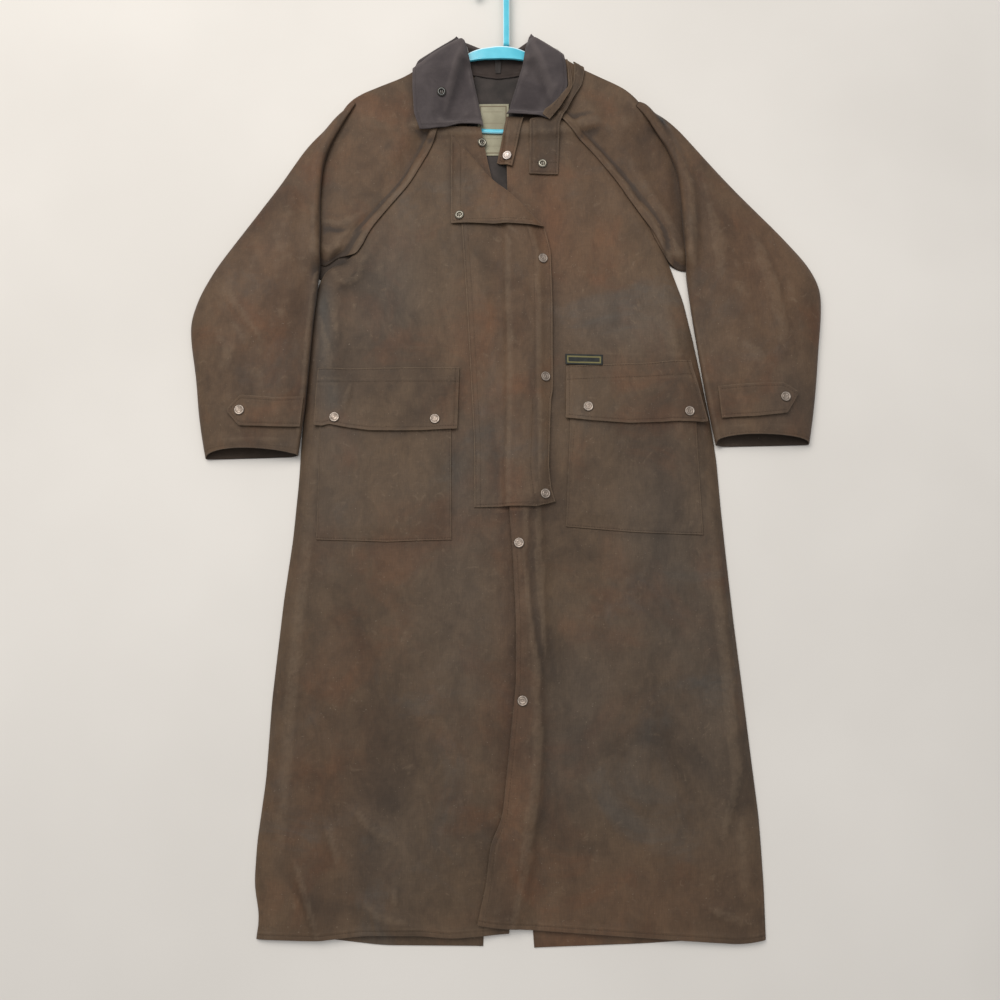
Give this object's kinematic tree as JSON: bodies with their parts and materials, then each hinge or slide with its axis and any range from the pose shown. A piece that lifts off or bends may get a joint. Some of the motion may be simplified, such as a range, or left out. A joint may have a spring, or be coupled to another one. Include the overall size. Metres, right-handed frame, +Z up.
{
  "type": "duster coat on a hanger",
  "caption": "Full-length waxed-cloth duster coat with raglan sleeves, storm flap and turned-down collar, snapped shut and laid flat with its hanger.",
  "frame": {"origin": "on the floor under the middle of the whole part, hanger included", "axes": "+Z up from the floor, +Y from the hem towards the collar, +X to the right of someone looking down at the coat from its hem"},
  "size_m": [0.952, 1.4666, 0.0385],
  "materials": {
    "waxed_cloth": "waxed cotton, worn and mottled, low sheen",
    "collar_cloth": "brushed corduroy-like cloth, matt",
    "lining": "plain dark cloth, matt",
    "label": "woven, matt, blank",
    "patch": "woven, matt, blank",
    "snap_metal": "aged antique nickel",
    "hanger_plastic": "moulded, glossy"
  },
  "bodies": {
    "root": {"back_left": "waxed_cloth", "back_right": "waxed_cloth", "collar_back": "collar_cloth", "collar_left": "collar_cloth", "collar_right": "collar_cloth", "cuff_tab_left": "waxed_cloth", "cuff_tab_right": "waxed_cloth", "front_left": "waxed_cloth", "front_right": "waxed_cloth", "hanger_arms": "hanger_plastic", "hanger_bar": "hanger_plastic", "hanger_hook": "hanger_plastic", "hanging_loop": "lining", "neck_facing": "lining", "neck_label": "label", "neck_tab": "waxed_cloth", "pocket_flap_left": "waxed_cloth", "pocket_flap_right": "waxed_cloth", "pocket_left": "waxed_cloth", "pocket_right": "waxed_cloth", "sleeve_left": "waxed_cloth", "sleeve_left_shoulder": "waxed_cloth", "sleeve_right": "waxed_cloth", "sleeve_right_shoulder": "waxed_cloth", "snap_cuff_left": "snap_metal", "snap_cuff_right": "snap_metal", "snap_flap_left_inner": "snap_metal", "snap_flap_left_outer": "snap_metal", "snap_flap_right_inner": "snap_metal", "snap_flap_right_outer": "snap_metal", "snap_front_lower": "snap_metal", "snap_front_upper": "snap_metal", "snap_neck_tab": "snap_metal", "snap_storm_lower": "snap_metal", "snap_storm_middle": "snap_metal", "snap_storm_upper": "snap_metal", "socket_collar": "snap_metal", "socket_front_left": "snap_metal", "socket_throat_strap": "snap_metal", "socket_turned_corner": "snap_metal", "storm_flap": "waxed_cloth", "storm_flap_turned_corner": "waxed_cloth", "throat_strap": "waxed_cloth", "undercollar_edge": "waxed_cloth", "woven_patch": "patch"}
  },
  "joints": []
}
